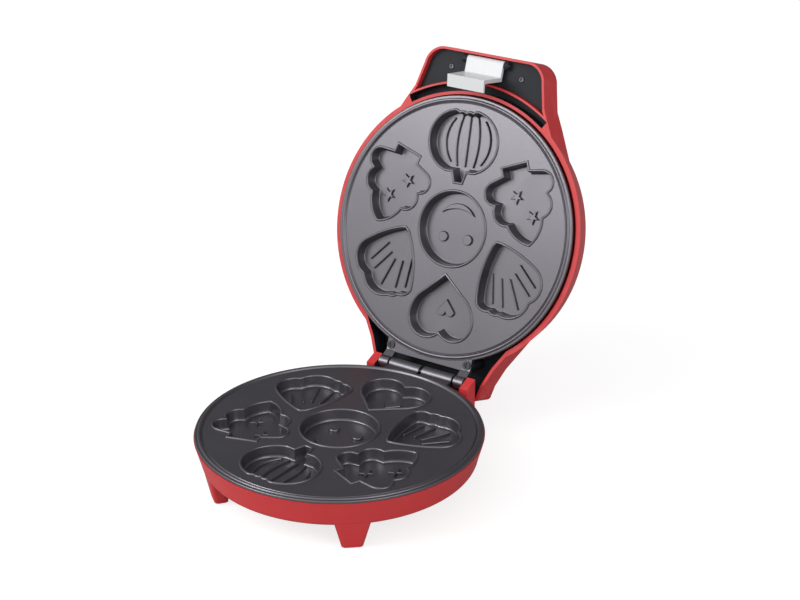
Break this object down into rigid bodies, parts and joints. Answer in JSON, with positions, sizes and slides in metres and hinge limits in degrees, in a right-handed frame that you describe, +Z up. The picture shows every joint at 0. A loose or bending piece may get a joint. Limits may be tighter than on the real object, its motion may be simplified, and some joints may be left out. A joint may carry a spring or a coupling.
{
  "type": "cookie maker",
  "caption": "Round countertop cookie maker with a hinged lid, shaped moulds in both plates, a handle with a latch and four short legs, lid open.",
  "frame": {"origin": "on the table, directly under the centre of the lower cooking plate", "axes": "+X to the user's right, +Y from the front towards the hinge, +Z up"},
  "size_m": [0.208, 0.32, 0.2656],
  "materials": {
    "red_plastic": "satin moulded",
    "coated_plate": "non-stick coating",
    "black_plastic": "fine texture",
    "white_plastic": "smooth",
    "steel": "plated",
    "dark_steel": "blackened",
    "sheath": "heat-dulled sheath",
    "reflector": "bright sheet",
    "ceramic": "glazed",
    "fuse_sleeve": "woven sleeve",
    "wire_sleeve": "silicone",
    "rubber": "matt",
    "lens": "clear tinted",
    "bulb": "clear"
  },
  "bodies": {
    "base": {"base_shell": "red_plastic", "foot_pads": "rubber", "lower_plate": "coated_plate", "lower_plate_screws": "steel", "hinge_pin": "steel", "lower_heating_element": "sheath", "lower_element_saddles": "steel", "lower_heat_reflector": "steel", "terminal_block": "ceramic", "thermostat": "steel", "thermal_fuse": "fuse_sleeve", "base_wiring": "wire_sleeve", "cord_gland": "black_plastic"},
    "lid": {"lid_shell": "red_plastic", "upper_plate": "coated_plate", "flange_screws": "dark_steel", "upper_plate_screws": "steel", "handle_cover": "black_plastic", "handle_cover_screws": "dark_steel", "latch_pin": "steel", "upper_heating_element": "sheath", "upper_element_saddles": "sheath", "upper_heat_reflector": "reflector", "upper_terminal_block": "ceramic", "lid_wiring": "wire_sleeve", "lamp_lenses": "lens", "lamp_bulbs": "bulb"},
    "latch": {"latch": "white_plastic"}
  },
  "joints": [
    {"name": "lid_hinge", "type": "hinge", "parent": "base", "child": "lid", "pos_m": [0, 0.10965, 0.0406], "axis": [1, 0, 0], "range_deg": [0, 109.3]},
    {"name": "latch_pivot", "type": "hinge", "parent": "lid", "child": "latch", "pos_m": [0, 0.19712, 0.25922], "axis": [1, 0, 0], "range_deg": [-50, 7.5]}
  ]
}
